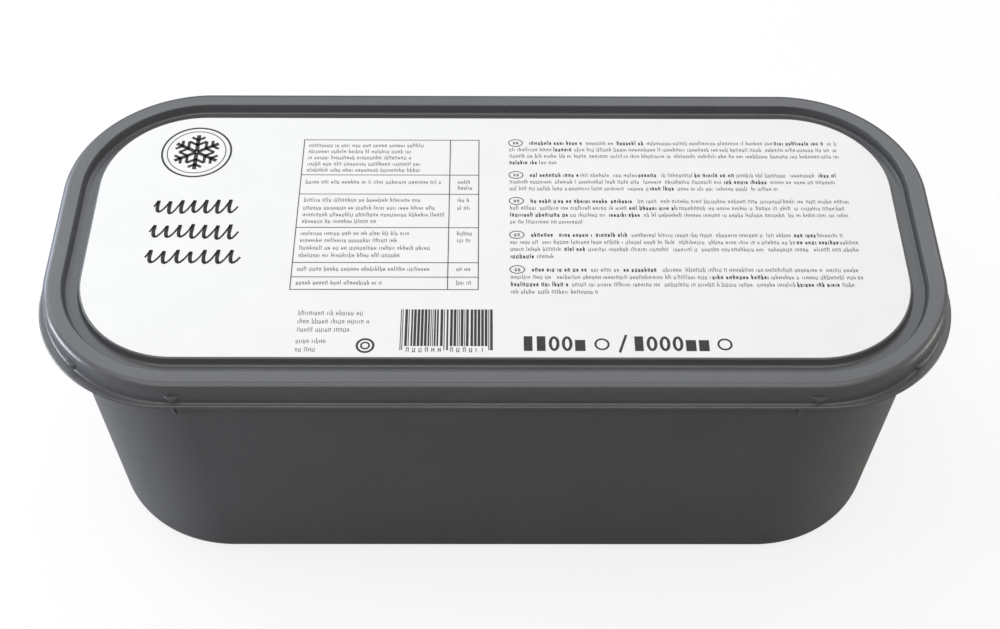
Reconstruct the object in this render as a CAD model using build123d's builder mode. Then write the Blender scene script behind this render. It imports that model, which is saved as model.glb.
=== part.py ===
"""Five-litre ice cream tub: a moulded tub, its press-on lid and the label on the lid.

The tub is full and shut, so the tub and what it holds are one solid. The lid is a thin
cap with a raised land round its edge, a channel inside the land, and a raised panel that
carries the label. All sizes are in millimetres, with the origin at the middle of the
base, +X along the tub and +Z up.
"""
import os
from math import radians, sqrt, tan

from build123d import *

# Overall size, with the length and width taken over the lid's lip.
length = 360.0
width = 165.0
height = 130.0

# Lid: the wall of its moulding, its skirt, and the lip round the skirt's foot.
lid_wall = 1.2
skirt_height = 10.5
skirt_draft = 2.5
skirt_corner_radius = 56.7
lip_reach = 2.0
lip_thickness = 1.1
lip_edge_radius = 0.35
lip_corner_excess = 1.4

# Lid: the land round its edge, the channel inside the land, and the raised panel.
land_width = 7.5
land_edge_radius = 2.8
land_inner_radius = 0.5
channel_width = 6.7
channel_depth = 4.4
channel_draft = 8.0
channel_floor_radius = 1.2
panel_drop = 1.0
panel_corner_excess = 0.5
panel_edge_radius = 0.5

# Lid: the nubs on its skirt that keep stacked lids apart, and the ribs that give a grip.
nub_width = 5.8
nub_reach = 1.6
nub_height = 4.0
nub_foot_reach = 0.3
grip_rib_count = 3
grip_rib_pitch = 2.8
grip_rib_width = 0.6
grip_rib_reach = 0.3
grip_rib_height = 4.5

# Label: a printed sheet stuck to the panel.
label_margin = 0.7
label_thickness = 0.2

# Tub: the ledge under the lid's lip, the drafted wall, and the rounded foot.
ledge_thickness = 0.9
ledge_inset = 0.7
wall_inset = 7.3
wall_draft = 3.0
wall_corner_radius = 54.8
base_corner_radius = 54.0
foot_radius = 6.5

# Tub: the gussets that stiffen the ledge, one near each end of a long side, and how far
# the left one and the right one lie past the end of the wall's straight.
gusset_overruns = (5.6, -1.4)
gusset_width = 1.6
gusset_reach = 4.2
gusset_height = 13.0

# How closely the lid sits round the tub's rim, and how far the fill stays below it.
fit_clearance = 0.3
fill_clearance = 0.4

# How far apart two heights may be and still count as one when a face is looked up.
level_tolerance = 0.01

# Heights of the lid's levels.
lip_bottom = height - skirt_height
lip_top = lip_bottom + lip_thickness
land_underside = height - lid_wall
channel_floor = height - channel_depth
channel_underside = channel_floor - lid_wall
panel_top = height - panel_drop
panel_underside = panel_top - lid_wall

# Outlines of the lid: how far each lies inside the lip's outline, and its corner radius.
# A corner of radius r is cut back from its square by r * diagonal_cut along the diagonal,
# so an excess there is a radius smaller than a parallel outline's by excess / diagonal_cut.
diagonal_cut = sqrt(2) - 1
lip_corner_radius = skirt_corner_radius + lip_reach - lip_corner_excess / diagonal_cut
skirt_spread = skirt_height * tan(radians(skirt_draft))
skirt_top_inset = lip_reach + skirt_spread
skirt_top_radius = skirt_corner_radius - skirt_spread
skirt_inner_inset = skirt_top_inset + lid_wall
skirt_inner_radius = skirt_top_radius - lid_wall
channel_inset = skirt_top_inset + land_width
channel_radius = skirt_top_radius - land_width
channel_back_inset = channel_inset - lid_wall
channel_back_radius = channel_radius + lid_wall
panel_inset = channel_inset + channel_width
panel_corner_radius = channel_radius - channel_width - panel_corner_excess / diagonal_cut
panel_height = channel_depth - panel_drop
panel_spread = panel_height * tan(radians(channel_draft))
rim_edge_radius = land_edge_radius - lid_wall

# Heights and outlines of the tub.
ledge_top = lip_bottom - fit_clearance
ledge_bottom = ledge_top - ledge_thickness
fill_top = channel_underside - fill_clearance
base_inset = wall_inset + ledge_bottom * tan(radians(wall_draft))


def outline(inset, radius, mode=Mode.ADD):
    """Draw the rounded rectangle that lies this far inside the lip's outline."""
    return RectangleRounded(length - 2 * inset, width - 2 * inset, radius, mode=mode)


def flat_face(part, level):
    """Find the level face of a part at one height."""
    level_faces = part.faces().filter_by(Plane.XY)
    return level_faces.filter_by_position(
        Axis.Z, level - level_tolerance, level + level_tolerance
    )[0]


def nub_places(inset, radius):
    """Give points on an outline: the ends of its long sides and the middles of its corners."""
    end_x = length / 2 - inset - radius
    end_y = width / 2 - inset - radius
    diagonal = radius / sqrt(2)
    places = []
    for side_x in (-1, 1):
        for side_y in (-1, 1):
            places.append((side_x * end_x, side_y * (end_y + radius)))
            places.append((side_x * (end_x + diagonal), side_y * (end_y + diagonal)))
    return places


# Lid, made as a solid cap from the lip up and then hollowed from below.
with BuildPart() as lid:
    with BuildSketch(Plane.XY.offset(lip_bottom)):
        outline(0, lip_corner_radius)
    extrude(amount=lip_thickness)
    lip_edges = lid.edges().group_by(Axis.Z)
    fillet(lip_edges[0] + lip_edges[-1], radius=lip_edge_radius)

    with BuildSketch(Plane.XY.offset(lip_bottom)):
        outline(lip_reach, skirt_corner_radius)
    extrude(amount=skirt_height, taper=skirt_draft)

    # The channel is a pocket across the whole top, with the panel standing in it.
    with BuildSketch(Plane.XY.offset(height)):
        outline(channel_inset, channel_radius)
    extrude(amount=-channel_depth, taper=channel_draft, mode=Mode.SUBTRACT)
    with BuildSketch(Plane.XY.offset(channel_floor)):
        outline(panel_inset - panel_spread, panel_corner_radius + panel_spread)
    extrude(amount=panel_height, taper=channel_draft)

    fillet(flat_face(lid, height).outer_wire().edges(), radius=land_edge_radius)
    fillet(flat_face(lid, height).inner_wires()[0].edges(), radius=land_inner_radius)
    fillet(flat_face(lid, panel_top).edges(), radius=panel_edge_radius)
    fillet(flat_face(lid, channel_floor).edges(), radius=channel_floor_radius)

    # A nub is a cone that stands in the skirt and shows as a tapering half disc.
    nub_radius = ((nub_width / 2) ** 2 + nub_reach**2) / (2 * nub_reach)
    nub_depth = nub_radius - nub_reach
    nub_centres = nub_places(lip_reach + nub_depth, skirt_corner_radius - nub_depth)
    with Locations(*[(x, y, lip_top) for x, y in nub_centres]):
        Cone(
            nub_depth + nub_foot_reach,
            nub_radius,
            nub_height,
            align=(Align.CENTER, Align.CENTER, Align.MIN),
        )

    # The grip ribs stand on the lip at the middle of each long side.
    rib_lean = (lip_thickness + grip_rib_height / 2) * tan(radians(skirt_draft))
    rib_depth = grip_rib_reach + lid_wall / 2
    rib_y = width / 2 - lip_reach - rib_lean + grip_rib_reach - rib_depth / 2
    for side in (-1, 1):
        with Locations((0, side * rib_y, lip_top)):
            with GridLocations(grip_rib_pitch, 0, grip_rib_count, 1):
                Box(
                    grip_rib_width,
                    rib_depth,
                    grip_rib_height,
                    align=(Align.CENTER, Align.CENTER, Align.MIN),
                )

    # The groove behind the skirt takes the tub's rim.
    with BuildSketch(Plane.XY.offset(lip_bottom)):
        outline(skirt_inner_inset, skirt_inner_radius)
        outline(channel_back_inset, channel_back_radius, mode=Mode.SUBTRACT)
    extrude(amount=land_underside - lip_bottom, mode=Mode.SUBTRACT)
    fillet(flat_face(lid, land_underside).outer_wire().edges(), radius=rim_edge_radius)

    # Below the channel's floor, and under the panel, the lid is open.
    with BuildSketch(Plane.XY.offset(lip_bottom)):
        outline(skirt_inner_inset, skirt_inner_radius)
    extrude(amount=channel_underside - lip_bottom, mode=Mode.SUBTRACT)
    with BuildSketch(Plane.XY.offset(channel_underside)):
        outline(panel_inset + lid_wall, panel_corner_radius - lid_wall)
    extrude(amount=panel_underside - channel_underside, mode=Mode.SUBTRACT)

# Label, lying on the panel inside the panel's rounded edge.
with BuildPart() as label:
    with BuildSketch(Plane.XY.offset(panel_top)):
        outline(panel_inset + label_margin, panel_corner_radius - label_margin)
    extrude(amount=label_thickness)

# Tub, full to just below the lid.
with BuildPart() as tub:
    with BuildSketch(Plane.XY):
        outline(base_inset, base_corner_radius)
    with BuildSketch(Plane.XY.offset(ledge_bottom)):
        outline(wall_inset, wall_corner_radius)
    loft(ruled=True)
    fillet(flat_face(tub, 0).edges(), radius=foot_radius)

    with BuildSketch(Plane.XY.offset(ledge_bottom)):
        outline(ledge_inset, lip_corner_radius - ledge_inset)
    extrude(amount=ledge_thickness)

    # The rim stands on the ledge, inside the lid's groove, and carries the lid.
    with BuildSketch(Plane.XY.offset(ledge_top)):
        outline(skirt_inner_inset + fit_clearance, skirt_inner_radius - fit_clearance)
    extrude(amount=land_underside - ledge_top)
    fillet(flat_face(tub, land_underside).edges(), radius=rim_edge_radius)
    with BuildSketch(Plane.XY.offset(fill_top)):
        outline(channel_back_inset - fit_clearance, channel_back_radius + fit_clearance)
    extrude(amount=land_underside - fill_top, mode=Mode.SUBTRACT)

    # Each gusset is a thin triangle under the ledge, sunk into the wall along its back.
    # The two on the far side are the near ones turned half round the tub.
    straight_end = length / 2 - wall_inset - wall_corner_radius
    gusset_places = (-straight_end - gusset_overruns[0], straight_end + gusset_overruns[1])
    wall_y = width / 2 - wall_inset
    gusset_foot_y = wall_y - gusset_height * tan(radians(wall_draft))
    gusset_back_y = gusset_foot_y - gusset_width
    for side in (-1, 1):
        for place in gusset_places:
            with BuildSketch(Plane.YZ.offset(-side * place)):
                Polygon(
                    (side * gusset_back_y, ledge_bottom),
                    (side * (wall_y + gusset_reach), ledge_bottom),
                    (side * gusset_foot_y, ledge_bottom - gusset_height),
                    (side * gusset_back_y, ledge_bottom - gusset_height),
                    align=None,
                )
            extrude(amount=gusset_width / 2, both=True)

os.makedirs("parts", exist_ok=True)
tub.part.label = "tub"
lid.part.label = "lid"
label.part.label = "label"
export_step(tub.part, "parts/tub.step")
export_step(lid.part, "parts/lid.step")
export_step(label.part, "parts/label.step")
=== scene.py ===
import math
import random
import bmesh
import bpy
from mathutils import Matrix, Vector


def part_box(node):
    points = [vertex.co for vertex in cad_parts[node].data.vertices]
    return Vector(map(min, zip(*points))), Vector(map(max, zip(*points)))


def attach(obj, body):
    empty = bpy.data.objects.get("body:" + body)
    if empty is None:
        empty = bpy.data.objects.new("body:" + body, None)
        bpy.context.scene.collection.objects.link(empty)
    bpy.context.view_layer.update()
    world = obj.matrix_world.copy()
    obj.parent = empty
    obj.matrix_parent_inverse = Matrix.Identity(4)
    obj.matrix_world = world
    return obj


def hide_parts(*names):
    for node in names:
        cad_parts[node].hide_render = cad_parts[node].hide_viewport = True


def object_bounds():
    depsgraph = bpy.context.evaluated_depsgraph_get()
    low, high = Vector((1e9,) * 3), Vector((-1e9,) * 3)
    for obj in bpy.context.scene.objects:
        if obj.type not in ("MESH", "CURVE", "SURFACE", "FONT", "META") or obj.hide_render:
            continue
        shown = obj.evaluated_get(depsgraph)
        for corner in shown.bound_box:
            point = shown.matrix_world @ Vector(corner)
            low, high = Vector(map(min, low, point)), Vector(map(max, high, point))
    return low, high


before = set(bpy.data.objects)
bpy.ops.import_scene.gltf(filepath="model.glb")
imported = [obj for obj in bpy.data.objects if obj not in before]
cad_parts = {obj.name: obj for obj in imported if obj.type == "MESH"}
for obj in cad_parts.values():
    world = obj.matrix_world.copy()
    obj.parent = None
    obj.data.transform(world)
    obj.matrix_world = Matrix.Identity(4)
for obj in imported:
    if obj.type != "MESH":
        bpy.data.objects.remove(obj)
cad_low, cad_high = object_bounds()

# Tub. An injection moulding in dark grey polypropylene: a drafted wall on a rounded foot, a
# thin ledge that carries four gussets, and an upright rim inside the lid. It is shut and full,
# so it closes inside the rim at the level of the ice cream.
mm = 0.001
tub_low, tub_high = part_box("tub")
lid_low, lid_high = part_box("lid")
half_length = lid_high.x
half_width = lid_high.y
quarter_steps = 30
wall_draft_degrees = 3.0
wall_draft = math.radians(wall_draft_degrees)
wall_inset = 7.3 * mm
wall_corner = 54.8 * mm
foot_corner = 54.0 * mm
foot_radius = 6.5 * mm
foot_ring_width = 5.0 * mm
foot_ring_depth = 0.8 * mm
ledge_inset = 0.7 * mm
ledge_corner = 54.62 * mm
ledge_thickness = 0.9 * mm
ledge_gap = 0.3 * mm
ledge_edge = 0.2 * mm
rim_inset = 3.96 * mm
rim_corner = 54.74 * mm
rim_thickness = 4.5 * mm
rim_edge = 1.6 * mm
fill_drop = 4.8 * mm
ledge_top = lid_low.z - ledge_gap
ledge_bottom = ledge_top - ledge_thickness
foot_inset = wall_inset + (ledge_bottom - tub_low.z) * math.tan(wall_draft)


def bend(inset, height, radius, start, end, steps=5):
    """Give the points of an arc in a wall's section. Zero degrees faces out and 90 faces up."""
    points = []
    for index in range(steps + 1):
        angle = math.radians(start + (end - start) * index / steps)
        points.append((inset - radius * math.cos(angle), height + radius * math.sin(angle)))
    return points


def with_corners(points, inset, corner):
    """Give each point of a section the corner radius that keeps it parallel to one outline."""
    return [(point_inset, height, corner + inset - point_inset) for point_inset, height in points]


def centre_of_corner(vertex, inset, corner):
    """Give the middle of the corner arc that a vertex of a rounded rectangle belongs to."""
    x = math.copysign(half_length - inset - corner, vertex.co.x)
    y = math.copysign(half_width - inset - corner, vertex.co.y)
    return Vector((x, y, 0))


def add_ring(mesh, inset, height, corner):
    """Add a rounded rectangle that lies this far inside the lip's outline, and give its edges."""
    half_step = math.tau / (8 * quarter_steps)
    made = bmesh.ops.create_circle(
        mesh,
        segments=4 * quarter_steps,
        radius=corner / math.cos(half_step),
        matrix=Matrix.Rotation(half_step, 4, "Z"),
    )
    for vertex in made["verts"]:
        vertex.co += centre_of_corner(vertex, inset, corner)
        vertex.co.z = height
    return list({edge for vertex in made["verts"] for edge in vertex.link_edges})


def extrude_ring(mesh, edges, near, far):
    """Extrude a rounded rectangle into the next one of a section, and give its new edges."""
    grown = bmesh.ops.extrude_edge_only(mesh, edges=edges)["geom"]
    vertices = {item for item in grown if isinstance(item, bmesh.types.BMVert)}
    near_inset, _, near_corner = near
    far_inset, far_height, far_corner = far
    for vertex in vertices:
        spoke = vertex.co - centre_of_corner(vertex, near_inset, near_corner)
        vertex.co = centre_of_corner(vertex, far_inset, far_corner) + spoke * far_corner / near_corner
        vertex.co.z = far_height
    found = [item for item in grown if isinstance(item, bmesh.types.BMEdge)]
    return [edge for edge in found if vertices.issuperset(edge.verts)]


def add_shell(mesh, section):
    """Skin a section round the tub, and close it at its first and its last ring."""
    edges = add_ring(mesh, *section[0])
    bmesh.ops.contextual_create(mesh, geom=edges)
    for near, far in zip(section, section[1:]):
        edges = extrude_ring(mesh, edges, near, far)
    bmesh.ops.contextual_create(mesh, geom=edges)


def add_gusset(mesh, place, side):
    """Add one thin triangle under the ledge, sunk a little into the wall."""
    made = bmesh.ops.create_cube(mesh, size=1)["verts"]
    foot_y = wall_y - gusset_height * math.tan(wall_draft)
    back_y = foot_y - gusset_width
    front_y = wall_y + gusset_reach
    size = Matrix.Diagonal((gusset_width, front_y - back_y, gusset_height, 1))
    centre = Matrix.Translation((place, (front_y + back_y) / 2, ledge_bottom - gusset_height / 2))
    bmesh.ops.transform(mesh, matrix=centre @ size, verts=made)
    geometry = made + list({edge for vertex in made for edge in vertex.link_edges})
    geometry += list({face for vertex in made for face in vertex.link_faces})
    slope = Vector((0, gusset_height, foot_y - front_y))
    cut = bmesh.ops.bisect_plane(
        mesh, geom=geometry, plane_co=(0, front_y, ledge_bottom), plane_no=slope, clear_outer=True
    )
    edges = [item for item in cut["geom_cut"] if isinstance(item, bmesh.types.BMEdge)]
    bmesh.ops.contextual_create(mesh, geom=edges)
    kept = {vertex for vertex in made if vertex.is_valid}
    kept |= {item for item in cut["geom_cut"] if isinstance(item, bmesh.types.BMVert)}
    if side < 0:
        bmesh.ops.rotate(mesh, verts=list(kept), cent=(0, 0, 0), matrix=Matrix.Rotation(math.pi, 3, "Z"))


def make_piece(name, mesh, material):
    """Turn a finished bmesh into a piece that rides with the tub."""
    bmesh.ops.recalc_face_normals(mesh, faces=mesh.faces)
    data = bpy.data.meshes.new(name)
    mesh.to_mesh(data)
    mesh.free()
    data.materials.append(material)
    piece = bpy.data.objects.new(name, data)
    bpy.context.scene.collection.objects.link(piece)
    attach(piece, "root")
    return piece


def smooth_moulding(piece):
    """Shade a moulding smooth, with its flats flat and its creases sharp."""
    crease_angle = math.radians(32)
    piece.data.shade_smooth()
    piece.data.set_sharp_from_angle(angle=crease_angle)
    flats = piece.modifiers.new("flat_faces", "WEIGHTED_NORMAL")
    flats.keep_sharp = True


def add_node(tree, kind, **values):
    """Add a shader node and set its own settings."""
    node = tree.nodes.new(kind)
    for name, value in values.items():
        setattr(node, name, value)
    return node


def start_material(name):
    """Make a node material and give back its tree, its shader and its object coordinates."""
    material = bpy.data.materials.new(name)
    material.use_nodes = True
    tree = material.node_tree
    shader = tree.nodes["Principled BSDF"]
    place = add_node(tree, "ShaderNodeTexCoord")
    return material, tree, shader, place.outputs["Object"]


def start_group(name, inputs, outputs):
    """Make a shader node group with named inputs and outputs."""
    group = bpy.data.node_groups.new(name, "ShaderNodeTree")
    for title, kind in inputs:
        group.interface.new_socket(title, in_out="INPUT", socket_type=kind)
    for title, kind in outputs:
        group.interface.new_socket(title, in_out="OUTPUT", socket_type=kind)
    source = add_node(group, "NodeGroupInput")
    result = add_node(group, "NodeGroupOutput")
    return group, source.outputs, result.inputs


def mottle(tree, place, scale, detail=3.0, stretch=None):
    """Add a noise pattern of so many cells to the metre, stretched along an axis if asked."""
    if stretch:
        mapping = add_node(tree, "ShaderNodeMapping")
        mapping.inputs["Scale"].default_value = stretch
        tree.links.new(place, mapping.inputs["Vector"])
        place = mapping.outputs["Vector"]
    noise = add_node(tree, "ShaderNodeTexNoise")
    noise.inputs["Scale"].default_value = scale
    noise.inputs["Detail"].default_value = detail
    tree.links.new(place, noise.inputs["Vector"])
    return noise.outputs["Fac"]


def remap(tree, value, low, high, new_low, new_high):
    """Turn one range of a value into another."""
    node = add_node(tree, "ShaderNodeMapRange")
    node.inputs["From Min"].default_value = low
    node.inputs["From Max"].default_value = high
    node.inputs["To Min"].default_value = new_low
    node.inputs["To Max"].default_value = new_high
    tree.links.new(value, node.inputs["Value"])
    return node.outputs["Result"]


def emboss(tree, height, depth, under=None):
    """Add a bump of this depth in metres, on top of another where one is given."""
    bump = add_node(tree, "ShaderNodeBump")
    bump.inputs["Strength"].default_value = 1.0
    bump.inputs["Distance"].default_value = depth
    tree.links.new(height, bump.inputs["Height"])
    if under:
        tree.links.new(under, bump.inputs["Normal"])
    return bump.outputs["Normal"]


def blend_colours(tree, mask, first, second):
    """Mix two colours, each a fixed colour or a socket, by a mask."""
    node = add_node(tree, "ShaderNodeMix", data_type="RGBA")
    tree.links.new(mask, node.inputs["Factor"])
    for socket, colour in ((node.inputs[6], first), (node.inputs[7], second)):
        if isinstance(colour, tuple):
            socket.default_value = (*colour, 1)
        else:
            tree.links.new(colour, socket)
    return node.outputs[2]


# The mould's grain: a fine eggshell over slow waves, in two close tones that drift from one to
# the other, with faint rubbed hairlines. Noise lies mostly between the low and the high value.
noise_low = 0.3
noise_high = 0.7
cloud_scale = 38.0
speckle_scale = 2600.0
hairline_scale = 60.0
hairline_stretch = (1.0, 14.0, 14.0)
hairline_low = 0.52
hairline_high = 0.72
wave_scale = 16.0
wave_depth = 0.35 * mm
eggshell_depth = 0.008 * mm
glossy_roughness = 0.26
matt_roughness = 0.32
rubbed_roughness = 0.012
moulded_grain, grain_in, grain_out = start_group(
    "moulded_grain",
    [("Place", "NodeSocketVector"), ("Deep", "NodeSocketColor"), ("Pale", "NodeSocketColor")],
    [("Colour", "NodeSocketColor"), ("Roughness", "NodeSocketFloat"), ("Normal", "NodeSocketVector")],
)
cloud = mottle(moulded_grain, grain_in["Place"], cloud_scale, detail=4.0)
speckle = mottle(moulded_grain, grain_in["Place"], speckle_scale, detail=2.0)
hairline = mottle(moulded_grain, grain_in["Place"], hairline_scale, detail=5.0, stretch=hairline_stretch)
drift = remap(moulded_grain, cloud, noise_low, noise_high, 0.0, 1.0)
tone = blend_colours(moulded_grain, drift, grain_in["Deep"], grain_in["Pale"])
plain = remap(moulded_grain, speckle, noise_low, noise_high, glossy_roughness, matt_roughness)
rubbed = remap(moulded_grain, hairline, hairline_low, hairline_high, 0.0, rubbed_roughness)
gloss = add_node(moulded_grain, "ShaderNodeMath", operation="ADD")
wave = mottle(moulded_grain, grain_in["Place"], wave_scale, detail=1.0)
waves = emboss(moulded_grain, wave, wave_depth)
eggshell = emboss(moulded_grain, speckle, eggshell_depth, waves)
moulded_grain.links.new(tone, grain_out["Colour"])
moulded_grain.links.new(plain, gloss.inputs[0])
moulded_grain.links.new(rubbed, gloss.inputs[1])
moulded_grain.links.new(gloss.outputs[0], grain_out["Roughness"])
moulded_grain.links.new(eggshell, grain_out["Normal"])


def mould_plastic(name, deep, pale):
    """Make the grained polypropylene in two close tones."""
    refraction = 1.54
    material, tree, shader, place = start_material(name)
    grain = add_node(tree, "ShaderNodeGroup", node_tree=moulded_grain)
    tree.links.new(place, grain.inputs["Place"])
    grain.inputs["Deep"].default_value = (*deep, 1)
    grain.inputs["Pale"].default_value = (*pale, 1)
    tree.links.new(grain.outputs["Colour"], shader.inputs["Base Color"])
    tree.links.new(grain.outputs["Roughness"], shader.inputs["Roughness"])
    tree.links.new(grain.outputs["Normal"], shader.inputs["Normal"])
    shader.inputs["IOR"].default_value = refraction
    return material


tub_deep = (0.094, 0.097, 0.105)
tub_pale = (0.102, 0.105, 0.114)
tub_plastic = mould_plastic("tub_plastic", tub_deep, tub_pale)

# The section runs from the middle of the base, out round the foot and up the wall, over the
# ledge and the rim, and down inside the rim to the fill.
foot_centre_inset = foot_inset - foot_radius * math.tan(wall_draft) + foot_radius / math.cos(wall_draft)
foot = bend(foot_centre_inset, tub_low.z + foot_radius, foot_radius, -90, -wall_draft_degrees, steps=8)
ring_inset = foot_centre_inset + foot_ring_width
ring_depth = tub_low.z + foot_ring_depth
foot_ring = [(ring_inset + foot_ring_depth, ring_depth), (ring_inset, tub_low.z)]
ledge = [(ledge_inset + ledge_edge, ledge_bottom)]
ledge += bend(ledge_inset + ledge_edge, ledge_bottom + ledge_edge, ledge_edge, -60, 0, steps=2)
ledge += bend(ledge_inset + ledge_edge, ledge_top - ledge_edge, ledge_edge, 0, 90, steps=3)
rim_inner_inset = rim_inset + rim_thickness
rim = [(rim_inset, ledge_top)]
rim += bend(rim_inset + rim_edge, tub_high.z - rim_edge, rim_edge, 0, 90, steps=4)
rim += [(rim_inner_inset, tub_high.z), (rim_inner_inset, tub_high.z - fill_drop)]
tub_mesh = bmesh.new()
tub_section = with_corners(foot_ring + foot, foot_inset, foot_corner)
tub_section += [(wall_inset, ledge_bottom, wall_corner)]
tub_section += with_corners(ledge, ledge_inset, ledge_corner)
tub_section += with_corners(rim, rim_inset, rim_corner)
add_shell(tub_mesh, tub_section)

# Gussets. Thin triangles moulded under the ledge, near the ends of the long sides, where they
# stiffen it. The two at the back are the front two turned half round the tub.
gusset_width = 1.6 * mm
gusset_reach = 4.2 * mm
gusset_height = 13.0 * mm
gusset_overruns = (5.6 * mm, -1.4 * mm)
wall_y = half_width - wall_inset
straight_end = half_length - wall_inset - wall_corner
for side in (-1, 1):
    add_gusset(tub_mesh, straight_end + gusset_overruns[0], side)
    add_gusset(tub_mesh, -straight_end - gusset_overruns[1], side)
tub = make_piece("tub_moulding", tub_mesh, tub_plastic)
smooth_moulding(tub)
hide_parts("tub")

# Lid. A thinner moulding of the same plastic in a shade paler tone, pressed over the rim: a lip
# and skirt outside, a rolled land on top, a channel inside it, and a raised panel for the label.
lid_wall = 1.2 * mm
skirt_draft_degrees = 2.5
skirt_draft = math.radians(skirt_draft_degrees)
skirt_corner = 56.7 * mm
lip_reach = 2.0 * mm
lip_thickness = 1.1 * mm
lip_edge = 0.3 * mm
lip_top_edge = 0.75 * mm
lip_corner = 55.32 * mm
lip_fillet = 0.8 * mm
lip_fillet_end = -177
land_width = 7.5 * mm
land_edge = 2.8 * mm
land_inner_edge = 0.5 * mm
channel_width = 6.7 * mm
channel_depth = 4.4 * mm
channel_draft_degrees = 8.0
channel_draft = math.radians(channel_draft_degrees)
channel_fillet = 1.2 * mm
panel_drop = 1.0 * mm
panel_corner = 40.83 * mm
panel_edge = 0.5 * mm
lip_bottom = lid_low.z
lip_top = lip_bottom + lip_thickness
lid_top = lid_high.z
land_underside = lid_top - lid_wall
channel_floor = lid_top - channel_depth
panel_top = lid_top - panel_drop
skirt_spread = (lid_top - lip_bottom) * math.tan(skirt_draft)
skirt_top_inset = lip_reach + skirt_spread
skirt_inner_inset = skirt_top_inset + lid_wall
channel_inset = skirt_top_inset + land_width
panel_inset = channel_inset + channel_width
channel_back_inset = channel_inset - lid_wall
panel_back_inset = panel_inset + lid_wall
lid_deep = (0.095, 0.098, 0.106)
lid_pale = (0.105, 0.108, 0.117)
lid_plastic = mould_plastic("lid_plastic", lid_deep, lid_pale)


def skirt_inset(height):
    """Give the skirt's inset at a height: it leans in as it rises."""
    return lip_reach + (height - lip_bottom) * math.tan(skirt_draft)


def channel_wall_inset(height):
    """Give the inset of the channel's outer wall at a height."""
    return channel_inset + (lid_top - height) * math.tan(channel_draft)


def panel_wall_inset(height):
    """Give the inset of the raised panel's wall at a height."""
    return panel_inset - (panel_top - height) * math.tan(channel_draft)


# The section starts under the panel, goes round the inside of the lid to the lip, and comes
# back over the skirt, the land and the channel to the panel's top.
roll = land_edge / math.cos(skirt_draft)
inner_roll = land_inner_edge / math.cos(channel_draft)
sweep = channel_fillet / math.cos(channel_draft)
panel_roll = panel_edge / math.cos(channel_draft)
land_height = lid_top - land_edge
inner_height = lid_top - land_inner_edge
fillet_height = channel_floor + channel_fillet
panel_height = panel_top - panel_edge
skirt_foot = skirt_inset(lip_top) - lip_fillet
land_centre = skirt_inset(land_height) + roll
inner_centre = channel_wall_inset(inner_height) - inner_roll
outer_sweep_centre = channel_wall_inset(fillet_height) + sweep
inner_sweep_centre = panel_wall_inset(fillet_height) - sweep
panel_centre = panel_wall_inset(panel_height) + panel_roll
under_panel = [(panel_back_inset, panel_top - lid_wall), (panel_back_inset, channel_floor - lid_wall)]
groove = [(channel_back_inset, channel_floor - lid_wall), (channel_back_inset, land_underside)]
groove += bend(skirt_inner_inset + rim_edge, land_underside - rim_edge, rim_edge, 90, 0, steps=4)
groove += [(skirt_inner_inset, lip_bottom)]
lip = bend(lip_edge, lip_bottom + lip_edge, lip_edge, -90, 0, steps=4)
lip += bend(lip_top_edge, lip_top - lip_top_edge, lip_top_edge, 0, 90, steps=6)
outside = bend(skirt_foot, lip_top + lip_fillet, lip_fillet, -90, lip_fillet_end, steps=4)
outside += bend(land_centre, land_height, land_edge, skirt_draft_degrees, 90, steps=9)
outside += bend(inner_centre, inner_height, land_inner_edge, 90, 180 - channel_draft_degrees)
outside += bend(outer_sweep_centre, fillet_height, channel_fillet, -channel_draft_degrees, -90, steps=6)
panel = bend(inner_sweep_centre, fillet_height, channel_fillet, -90, channel_draft_degrees - 180, steps=6)
panel += bend(panel_centre, panel_height, panel_edge, channel_draft_degrees, 90)
lid_section = with_corners(under_panel, panel_inset, panel_corner)
lid_section += with_corners(groove, lip_reach, skirt_corner)
lid_section += with_corners(lip, 0, lip_corner)
lid_section += with_corners(outside, lip_reach, skirt_corner)
lid_section += with_corners(panel, panel_inset, panel_corner)
lid_mesh = bmesh.new()
add_shell(lid_mesh, lid_section)

# Nubs and grip ribs. Eight tapering half discs on the skirt keep stacked lids apart, and three
# short ribs at the middle of each long side give a grip.
nub_half_width = 2.9 * mm
nub_reach = 1.6 * mm
nub_height = 4.0 * mm
nub_foot_reach = 0.3 * mm
nub_edge = 0.45 * mm
nub_radius = (nub_half_width ** 2 + nub_reach ** 2) / (2 * nub_reach)
nub_depth = nub_radius - nub_reach
rib_size = (0.6 * mm, 0.9 * mm, 4.5 * mm)
rib_edge = 0.12 * mm
rib_reach = 0.3 * mm
rib_pitch = 2.8 * mm


def add_nub(mesh, x, y, outward):
    """Add one nub: a cone standing on the lip, cut off inside the skirt's wall."""
    nub = bmesh.new()
    bmesh.ops.create_cone(
        nub,
        cap_ends=True,
        segments=48,
        radius1=nub_depth + nub_foot_reach,
        radius2=nub_radius,
        depth=nub_height,
        matrix=Matrix.Translation((x, y, lip_top + nub_height / 2)),
    )
    middle = lip_top + nub_height / 2
    top = [edge for edge in nub.edges if all(vertex.co.z > middle for vertex in edge.verts)]
    bmesh.ops.bevel(nub, geom=top, offset=nub_edge, segments=3, profile=0.5, affect="EDGES", material=-1)
    back = Vector((x, y, 0)) + outward * (nub_depth - skirt_spread - lid_wall / 2)
    everything = nub.verts[:] + nub.edges[:] + nub.faces[:]
    cut = bmesh.ops.bisect_plane(
        nub, geom=everything, plane_co=back, plane_no=-outward, clear_outer=True
    )
    edges = [item for item in cut["geom_cut"] if isinstance(item, bmesh.types.BMEdge)]
    bmesh.ops.contextual_create(nub, geom=edges)
    part = bpy.data.meshes.new("nub")
    nub.to_mesh(part)
    nub.free()
    mesh.from_mesh(part)
    bpy.data.meshes.remove(part)


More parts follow.
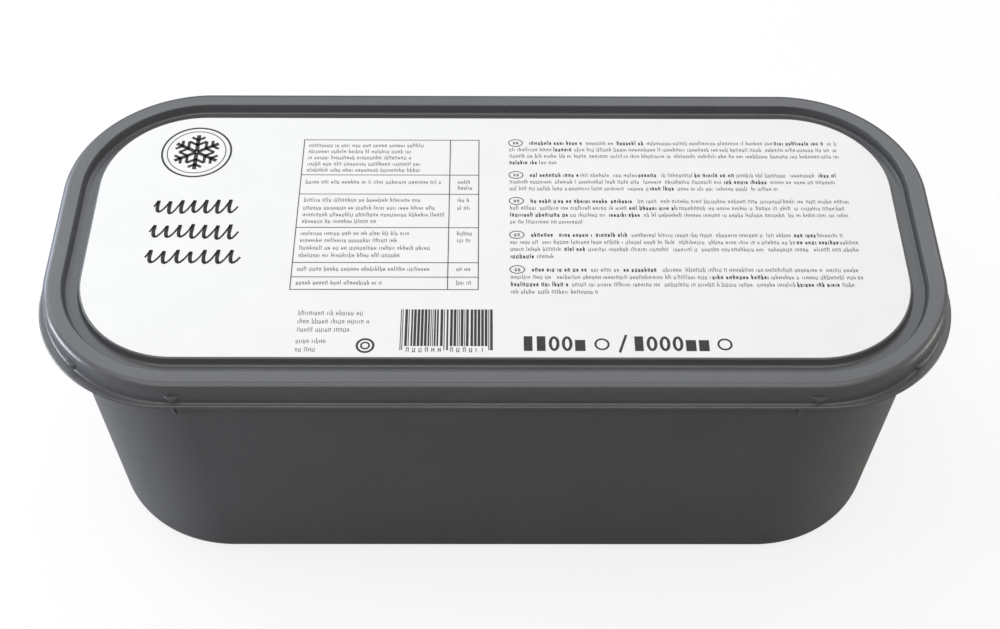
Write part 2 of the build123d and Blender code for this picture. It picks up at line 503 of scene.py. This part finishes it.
nub_inset = lip_reach + nub_depth
nub_corner = skirt_corner - nub_depth
nub_x = half_length - nub_inset - nub_corner
nub_y = half_width - nub_inset - nub_corner
diagonal = nub_corner / math.sqrt(2)
for side_x in (-1, 1):
    for side_y in (-1, 1):
        across = Vector((0, side_y, 0))
        outward = Vector((side_x, side_y, 0)).normalized()
        add_nub(lid_mesh, side_x * nub_x, side_y * (nub_y + nub_corner), across)
        add_nub(lid_mesh, side_x * (nub_x + diagonal), side_y * (nub_y + diagonal), outward)
rib_level = lip_top + rib_size[2] / 2
rib_y = half_width - skirt_inset(rib_level) + rib_reach - rib_size[1] / 2
for side in (-1, 1):
    for index in (-1, 0, 1):
        place = Matrix.Translation((index * rib_pitch, side * rib_y, rib_level))
        made = bmesh.ops.create_cube(lid_mesh, size=1, matrix=place @ Matrix.Diagonal((*rib_size, 1)))
        edges = list({edge for vertex in made["verts"] for edge in vertex.link_edges})
        bmesh.ops.bevel(
            lid_mesh, geom=edges, offset=rib_edge, segments=2, profile=0.5, affect="EDGES", material=-1
        )
lid = make_piece("lid_moulding", lid_mesh, lid_plastic)
smooth_moulding(lid)
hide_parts("lid")

# Label. A sheet of white polypropylene film, printed and stuck to the lid's panel. It lies
# almost flat, with the slow ripple of a sheet pressed down by hand.
film_deep = (0.79, 0.79, 0.79)
film_pale = (0.81, 0.81, 0.81)
film_glossy = 0.42
film_matt = 0.52
film_cloud_scale = 45.0
film_fibre_scale = 1800.0
film_fibre_depth = 0.006 * mm
ripple_scale = 22.0
ripple_depth = 0.25 * mm
film, tree, shader, place = start_material("label_film")
cloud = mottle(tree, place, film_cloud_scale, detail=3.0)
fibre = mottle(tree, place, film_fibre_scale, detail=2.0)
drift = remap(tree, cloud, noise_low, noise_high, 0.0, 1.0)
paper = blend_colours(tree, drift, film_deep, film_pale)
gloss = remap(tree, fibre, noise_low, noise_high, film_glossy, film_matt)
ripple = emboss(tree, mottle(tree, place, ripple_scale, detail=1.0), ripple_depth)
tree.links.new(paper, shader.inputs["Base Color"])
tree.links.new(gloss, shader.inputs["Roughness"])
tree.links.new(emboss(tree, fibre, film_fibre_depth, ripple), shader.inputs["Normal"])
label_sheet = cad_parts["label"].data
label_sheet.materials.clear()
label_sheet.materials.append(film)

# Print on the label. Black and dark grey ink, pressed on a few hundredths of a millimetre thick,
# before the sheet is cut. Its marks stand for words, and none of them is lettering to be read.
ink_thickness = 0.03 * mm
ink_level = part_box("label")[1].z
black_density_scale = 500.0
grey_density_scale = 900.0
black_deep = (0.012, 0.012, 0.013)
black_pale = (0.030, 0.030, 0.032)
grey_deep = (0.045, 0.045, 0.048)
grey_pale = (0.10, 0.10, 0.105)
print_size = 2.5
thin_stroke = 0.24
mark_widths = (0.12, 0.3, 0.3, 0.34, 0.38)
mark_heights = (0.58, 0.58, 0.58, 0.62, 0.95)
word_lengths = (2, 9)
draw = random.Random(41)


def make_ink(name, deep, pale, density_scale):
    """Make a printing ink whose density wanders a little."""
    solid_density = 0.35
    wet_roughness = 0.45
    dry_roughness = 0.6
    material, tree, shader, place = start_material(name)
    density = mottle(tree, place, density_scale, detail=4.0)
    tone = blend_colours(tree, remap(tree, density, solid_density, noise_high, 0.0, 1.0), deep, pale)
    gloss = remap(tree, density, noise_low, noise_high, wet_roughness, dry_roughness)
    tree.links.new(tone, shader.inputs["Base Color"])
    tree.links.new(gloss, shader.inputs["Roughness"])
    return material


text_ink = make_ink("text_ink", grey_deep, grey_pale, grey_density_scale)
black_ink = make_ink("black_ink", black_deep, black_pale, black_density_scale)


def lay_block(mesh, x, y, width, depth, turn=0.0):
    """Add one thin printed block, centred at a place on the label, in millimetres."""
    place = Matrix.Translation((x * mm, y * mm, ink_level + ink_thickness / 2))
    size = Matrix.Diagonal((width * mm, depth * mm, ink_thickness, 1))
    bmesh.ops.create_cube(mesh, size=1, matrix=place @ Matrix.Rotation(turn, 4, "Z") @ size)


def lay_ring(mesh, x, y, half_width, half_depth, line, steps=32):
    """Add one thin printed oval line, centred at a place on the label, in millimetres."""
    edges = []
    for shrink in (0, line):
        size = Matrix.Diagonal(((half_width - shrink) * mm, (half_depth - shrink) * mm, 1, 1))
        place = Matrix.Translation((x * mm, y * mm, ink_level + ink_thickness))
        made = bmesh.ops.create_circle(mesh, segments=steps, radius=1, matrix=place @ size)
        edges += {edge for vertex in made["verts"] for edge in vertex.link_edges}
    faces = bmesh.ops.bridge_loops(mesh, edges=edges)["faces"]
    bmesh.ops.recalc_face_normals(mesh, faces=faces)
    bmesh.ops.solidify(mesh, geom=faces, thickness=ink_thickness)


def lay_mark(mesh, left, foot, width, tall, stroke):
    """Add one small upright mark: a stem, or two stems joined by a bar, standing on a row."""
    short_stem = 1.8
    bar_levels = (0.0, 0.9, 1.8)
    lay_block(mesh, left + stroke / 2, foot + tall / 2, stroke, tall)
    if width > 2 * stroke:
        second = left + width - stroke / 2
        lay_block(mesh, second, foot + width * short_stem / 2, stroke, width * short_stem)
        bar_y = foot + draw.choice(bar_levels) * width
        lay_block(mesh, left + width / 2, bar_y, width, stroke)


def lay_words(mesh, left, right, row_y, size, stroke=thin_stroke):
    """Add a row of word-like runs of small marks between two places, in millimetres."""
    foot = row_y - size * 0.3
    mark_gap = size * 0.13 + stroke * 0.4
    word_gap = size * 0.3
    x = left
    while x < right:
        for _ in range(draw.randint(*word_lengths)):
            width = size * draw.choice(mark_widths)
            if x + width > right:
                return
            tall = size * draw.choice(mark_heights)
            lay_mark(mesh, x, foot, width, tall, stroke)
            x += width + mark_gap
        x += word_gap


def finish_print(mesh, name, material):
    """Turn a printed mesh into a piece of the label."""
    return make_piece(name, mesh, material)


# Emblem. A plain snow crystal in a double ring, printed in black at the label's back left
# corner. Each of its six arms carries two pairs of barbs.
emblem_x = -125.2
emblem_y = 44.4
emblem_radius = 14.8
emblem_line = 0.85
inner_ring_radius = 12.4
inner_ring_line = 0.4
ring_steps = 72
arm_count = 6
arm_start = 30
arm_middle = 5.2
arm_length = 9.8
arm_width = 1.7
barb_width = 1.25
barb_lean = math.radians(60)
barbs = ((4.2, 4.2), (7.2, 3.2))
mesh = bmesh.new()
lay_ring(mesh, emblem_x, emblem_y, emblem_radius, emblem_radius, emblem_line, ring_steps)
lay_ring(mesh, emblem_x, emblem_y, inner_ring_radius, inner_ring_radius, inner_ring_line, ring_steps)
for arm in range(arm_count):
    turn = math.radians(360 / arm_count * arm + arm_start)
    along = Vector((math.cos(turn), math.sin(turn)))
    centre = Vector((emblem_x, emblem_y)) + along * arm_middle
    lay_block(mesh, centre.x, centre.y, arm_length, arm_width, turn)
    for reach, length in barbs:
        root = Vector((emblem_x, emblem_y)) + along * reach
        for side in (-1, 1):
            lean = turn + side * barb_lean
            barb = Vector((math.cos(lean), math.sin(lean))) * length / 2
            lay_block(mesh, root.x + barb.x, root.y + barb.y, length, barb_width, lean)
finish_print(mesh, "emblem", black_ink)

# Brush marks. Three rows of one slanting wavy stroke each, as a round brush draws them, printed
# in black. A stroke is broader on its way down, and its edge is a little rough.
brush_rows = ((-139.5, -105.5, 12.9), (-139.5, -104.0, -1.0), (-139.5, -102.0, -14.8))
brush_lean = 0.22
brush_steps = 84
brush_width = 1.15
brush_pressure = 0.35
brush_roughness = 0.08
brush_overlap = 0.35
brush_sway = 0.55
sway_start = 1.2
low_swing = 2.6
high_swing = 4.0
wave_count = 7
mesh = bmesh.new()
for left, right, middle_y in brush_rows:
    swing = [draw.uniform(low_swing, high_swing) for _ in range(2 * wave_count + 1)]
    last = None
    for step in range(brush_steps + 1):
        share = step / brush_steps
        phase = 2 * wave_count * share
        height = swing[int(phase)] * math.sin(math.pi * phase)
        sway = brush_sway * math.sin(math.pi * phase + sway_start)
        x = left + (right - left) * share + brush_lean * height + sway
        point = Vector((x, middle_y + height))
        if last:
            run = point - last
            place = (point + last) / 2
            width = brush_width - brush_pressure * run.y / run.length
            width += draw.uniform(-brush_roughness, brush_roughness)
            lay_block(mesh, place.x, place.y, run.length + brush_overlap, width, math.atan2(run.y, run.x))
        last = point
finish_print(mesh, "brush_marks", black_ink)

# Table. Thin rules, with rows of small print between them and a narrow column of values on the
# right, printed in dark grey. A row is its height on the label and how far its print runs.
table_left = -80.5
table_right = -7.0
column_line = -19.0
rule_width = 0.4
text_margin = 2.2
column_margin = 3.4
right_margin = 2.6
table_rules = (51.9, 31.2, 20.2, 1.5, -17.4, -25.0, -31.5)
table_rows = (
    (48.4, 50), (44.8, 43), (41.1, 44), (37.4, 47), (33.8, 48), (26.9, 56), (16.6, 48), (12.2, 54),
    (8.4, 58), (4.7, 30), (-1.9, 44), (-5.7, 40), (-9.8, 52), (-13.7, 40), (-21.0, 52), (-28.2, 34),
)
value_rows = (26.9, 23.6, 16.6, 12.2, -1.9, -5.7, -21.0, -28.2)
mesh = bmesh.new()
for y in table_rules:
    lay_block(mesh, (table_left + table_right) / 2, y, table_right - table_left + rule_width, rule_width)
for x in (table_left, column_line, table_right):
    middle_y = (table_rules[0] + table_rules[-1]) / 2
    lay_block(mesh, x, middle_y, rule_width, table_rules[0] - table_rules[-1])
for y, run in table_rows:
    lay_words(mesh, table_left + text_margin, table_left + text_margin + run, y, print_size)
for y in value_rows:
    lay_words(mesh, column_line + column_margin, table_right - right_margin, y, print_size)
finish_print(mesh, "table_print", text_ink)

# Address rows, printed in dark grey below the table, and the plain double ring in black beside
# them. A row is its height on the label and where its print ends.
address_left = -76.2
address_size = 2.7
address_rows = ((-43.7, -51.0), (-47.9, -48.0), (-52.0, -56.0), (-57.6, -63.5), (-61.7, -68.0))
small_ring_x = -49.8
small_ring_y = -59.6
small_rings = ((3.6, 0.9), (1.9, 0.7))
mesh = bmesh.new()
for y, right in address_rows:
    lay_words(mesh, address_left, right, y, address_size)
finish_print(mesh, "address_print", text_ink)
mesh = bmesh.new()
for radius, line in small_rings:
    lay_ring(mesh, small_ring_x, small_ring_y, radius, radius, line)
finish_print(mesh, "small_ring", black_ink)

# Bars. A block of upright black bars of mixed widths, printed at the label's front edge, with a
# longer pair at each end and in the middle, and a row of small plain marks under it.
bar_unit = 0.34
bar_left = -36.7
bar_count = 31
bar_top = -41.6
bar_foot = -59.8
bar_widths = (1, 1, 2, 3)
bar_gaps = (1, 1, 1, 2)
long_bar_extra = 2.0
long_bars = (0, 1, 15, 16, bar_count - 2, bar_count - 1)
bar_mark_count = 12
bar_mark_foot = -62.6
bar_mark_height = 1.9
bar_mark_stroke = 0.3
bar_mark_widths = (0.3, 1.1, 1.1)
bar_mark_margin = 2.4
middle_gap = 2.2
mesh = bmesh.new()
x = bar_left
for index in range(bar_count):
    width = bar_unit * draw.choice(bar_widths)
    extra = long_bar_extra if index in long_bars else 0.0
    lay_block(mesh, x + width / 2, (bar_top + bar_foot - extra) / 2, width, bar_top - bar_foot + extra)
    x += width + bar_unit * draw.choice(bar_gaps)
bar_mark_run = x - bar_left - 3 * middle_gap
for index in range(bar_mark_count):
    gap = middle_gap if index >= bar_mark_count / 2 else 0.0
    mark = bar_left + bar_mark_margin + gap + index * bar_mark_run / bar_mark_count
    lay_mark(mesh, mark, bar_mark_foot, draw.choice(bar_mark_widths), bar_mark_height, bar_mark_stroke)
finish_print(mesh, "bars", black_ink)

# Bold row. Heavy plain blocks and ovals in black, printed at the label's front edge where the
# contents are given: two groups with a slanting stroke between, and a ring after each.
bold_y = -58.5
bold_pitch = 4.95
bold_height = 7.2
bold_margin = 2.3
bold_groups = ((9.8, "block block oval oval square"), (52.0, "block oval oval oval square square"))
block_width = 3.3
oval_half_width = 2.05
oval_line = 1.2
square_width = 3.9
square_drop = 0.9
slash_x = 48.2
slash_length = 9.0
slash_width = 1.0
slash_turn = math.radians(72)
bold_rings = (40.2, 87.0)
bold_ring_radius = 2.9
bold_ring_line = 0.8
bold_ring_drop = 0.3
mesh = bmesh.new()
for left, kinds in bold_groups:
    for index, kind in enumerate(kinds.split()):
        x = left + bold_margin + index * bold_pitch
        if kind == "oval":
            lay_ring(mesh, x, bold_y, oval_half_width, bold_height / 2, oval_line)
        elif kind == "square":
            lay_block(mesh, x, bold_y - square_drop, square_width, bold_height - 2 * square_drop)
        else:
            lay_block(mesh, x, bold_y, block_width, bold_height)
lay_block(mesh, slash_x, bold_y, slash_length, slash_width, slash_turn)
for x in bold_rings:
    lay_ring(mesh, x, bold_y - bold_ring_drop, bold_ring_radius, bold_ring_radius, bold_ring_line)
finish_print(mesh, "bold_print", black_ink)

# Paragraphs. Five blocks of small dark grey print on the label's right half, each behind a small
# oval, with some words heavier and black. A paragraph is its first row's height, how many rows
# it has, and where its last row ends.
paragraph_left = 5.8
paragraph_right = 146.0
row_pitch = 3.85
row_ragged_edge = 6
paragraphs = ((50.0, 4, 26.0), (31.1, 3, 117.0), (16.2, 4, 36.0), (-2.6, 4, 23.0), (-21.2, 4, 40.0))
first_row_indent = 8.4
first_heavy_words = 30
heavy_share = 0.14
heavy_stroke = 0.36
word_run = (8, 24)
word_run_gap = 0.7
oval_x = paragraph_left + 2.6
oval_rise = 0.3
oval_size = (3.1, 2.2)
oval_thin_line = 0.4
oval_marks = (1.6, 2.9)
oval_mark_size = (0.8, 1.5)
oval_mark_drop = 0.5
oval_mark_stroke = 0.3
mesh = bmesh.new()
bold = bmesh.new()
for top, rows, last_right in paragraphs:
    lay_ring(bold, oval_x, top + oval_rise, *oval_size, oval_thin_line)
    for offset in oval_marks:
        lay_mark(bold, paragraph_left + offset, top - oval_mark_drop, *oval_mark_size, oval_mark_stroke)
    for row in range(rows):
        left = paragraph_left + (first_row_indent if row == 0 else 0)
        right = last_right if row == rows - 1 else paragraph_right - draw.uniform(0, row_ragged_edge)
        y = top - row * row_pitch
        while left < right:
            heavy = draw.random() < heavy_share or (row == 0 and left < first_heavy_words)
            end = min(right, left + draw.uniform(*word_run))
            if heavy:
                lay_words(bold, left, end, y, print_size, heavy_stroke)
            else:
                lay_words(mesh, left, end, y, print_size)
            left = end + word_run_gap
finish_print(mesh, "paragraph_print", text_ink)
finish_print(bold, "paragraph_bold_print", black_ink)

# Floor. A wide sheet of pale paper that carries the tub's soft shadow. Most of its white is a
# glow that only the camera sees, and it is dimmer for the light that it throws back at the tub.
floor_radius = 6.0
floor_drop = 0.05 * mm
floor_bounce = (0.36, 0.36, 0.36)
floor_deep = (0.88, 0.88, 0.88)
floor_pale = (0.90, 0.90, 0.90)
floor_roughness = 0.9
floor_glow = 0.8
floor_cloud_scale = 6.0
floor_material, tree, shader, place = start_material("floor_paper")
cloud = mottle(tree, place, floor_cloud_scale, detail=3.0)
drift = remap(tree, cloud, noise_low, noise_high, 0.0, 1.0)
tone = blend_colours(tree, drift, floor_deep, floor_pale)
seen = add_node(tree, "ShaderNodeLightPath")
dim = blend_colours(tree, seen.outputs["Is Camera Ray"], floor_bounce, tone)
tree.links.new(dim, shader.inputs["Base Color"])
shader.inputs["Roughness"].default_value = floor_roughness
shader.inputs["Specular IOR Level"].default_value = 0.0
glow = add_node(tree, "ShaderNodeEmission")
share = add_node(tree, "ShaderNodeMath", operation="MULTIPLY")
share.inputs[1].default_value = floor_glow
mixed = add_node(tree, "ShaderNodeMixShader")
tree.links.new(seen.outputs["Is Camera Ray"], share.inputs[0])
tree.links.new(share.outputs[0], mixed.inputs["Fac"])
tree.links.new(shader.outputs["BSDF"], mixed.inputs[1])
tree.links.new(glow.outputs["Emission"], mixed.inputs[2])
tree.links.new(mixed.outputs["Shader"], tree.nodes["Material Output"].inputs["Surface"])
mesh = bmesh.new()
bmesh.ops.create_circle(mesh, cap_ends=True, segments=96, radius=floor_radius)
bmesh.ops.translate(mesh, verts=mesh.verts, vec=(0, 0, cad_low.z - floor_drop))
bmesh.ops.recalc_face_normals(mesh, faces=mesh.faces)
data = bpy.data.meshes.new("floor")
mesh.to_mesh(data)
mesh.free()
data.materials.append(floor_material)
floor = bpy.data.objects.new("floor", data)
bpy.context.scene.collection.objects.link(floor)

# Light. A dim white room with soft lamps: wide ones behind and overhead for the lid's top, a long
# strip in front for its rolled edge and lip, and smaller ones at each end for the walls and edges.
room_tint = (0.97, 0.985, 1.0)
room_strength = 0.13
world = bpy.data.worlds.new("room")
bpy.context.scene.world = world
world.use_nodes = True
tree = world.node_tree
room = tree.nodes["Background"]
room.inputs["Color"].default_value = (*room_tint, 1)
room.inputs["Strength"].default_value = room_strength
backdrop = add_node(tree, "ShaderNodeBackground")
seen = add_node(tree, "ShaderNodeLightPath")
mixed = add_node(tree, "ShaderNodeMixShader")
tree.links.new(seen.outputs["Is Camera Ray"], mixed.inputs["Fac"])
tree.links.new(room.outputs["Background"], mixed.inputs[1])
tree.links.new(backdrop.outputs["Background"], mixed.inputs[2])
tree.links.new(mixed.outputs["Shader"], tree.nodes["World Output"].inputs["Surface"])


def hang_light(name, place, size, radiance, colour):
    """Hang a rectangular soft light that looks at the lid's middle."""
    data = bpy.data.lights.new(name, "AREA")
    data.shape = "RECTANGLE"
    data.size, data.size_y = size
    data.energy = radiance * math.pi * size[0] * size[1]
    data.color = colour
    lamp = bpy.data.objects.new(name, data)
    bpy.context.scene.collection.objects.link(lamp)
    lamp.location = place
    aim = Vector((0, 0, lid_high.z)) - lamp.location
    lamp.rotation_euler = aim.to_track_quat("-Z", "Y").to_euler()


hang_light("back_softbox", (-0.06, 0.80, 1.00), (1.50, 0.65), 1.75, (0.93, 0.97, 1.0))
hang_light("overhead_softbox", (0.0, -0.16, 1.25), (1.5, 0.55), 2.0, (1.0, 0.98, 0.94))
hang_light("front_strip", (0.0, -0.68, 1.00), (1.4, 0.22), 3.9, (1.0, 0.96, 0.88))
hang_light("left_softbox", (-0.80, 0.72, 0.72), (0.45, 0.60), 3.4, (0.88, 0.93, 1.0))
hang_light("left_window", (-0.98, 0.60, 0.40), (0.35, 0.35), 9.0, (0.70, 0.81, 1.0))
hang_light("right_softbox", (0.80, 0.72, 0.72), (0.40, 0.50), 2.2, (1.0, 1.0, 0.98))
hang_light("left_wall_light", (-1.0, -0.05, 0.20), (0.50, 0.28), 16.0, (0.84, 0.87, 1.0))
hang_light("right_wall_light", (1.0, -0.05, 0.20), (0.50, 0.28), 4.0, (1.0, 1.0, 0.88))
hang_light("left_lamp", (-1.0, 0.10, 0.40), (0.45, 0.09), 15.0, (1.0, 0.95, 0.84))
hang_light("right_lamp", (1.0, 0.05, 0.42), (0.30, 0.09), 10.0, (1.0, 0.95, 0.84))

# Camera. It looks down on the lid from the front, a little off the middle and a little turned.
# It stands away from the middle of the lid's top, is tilted up from straight down, and is
# turned a little before and after its tilt.
camera_lens = 60.5
camera_side = -3.9 * mm
camera_back = -460.6 * mm
camera_rise = 495.6 * mm
camera_pan = math.radians(-0.74)
camera_tilt = math.radians(40.0)
camera_roll = math.radians(0.66)
camera_data = bpy.data.cameras.new("camera")
camera_data.lens = camera_lens
camera = bpy.data.objects.new("camera", camera_data)
bpy.context.scene.collection.objects.link(camera)
stand = Matrix.Translation((camera_side, camera_back, lid_high.z + camera_rise))
pan = Matrix.Rotation(camera_pan, 4, "Z")
tilt = Matrix.Rotation(camera_tilt, 4, "X")
tip = Matrix.Rotation(camera_roll, 4, "Z")
camera.matrix_world = stand @ pan @ tilt @ tip
bpy.context.scene.camera = camera
bpy.context.scene.view_settings.view_transform = "Standard"
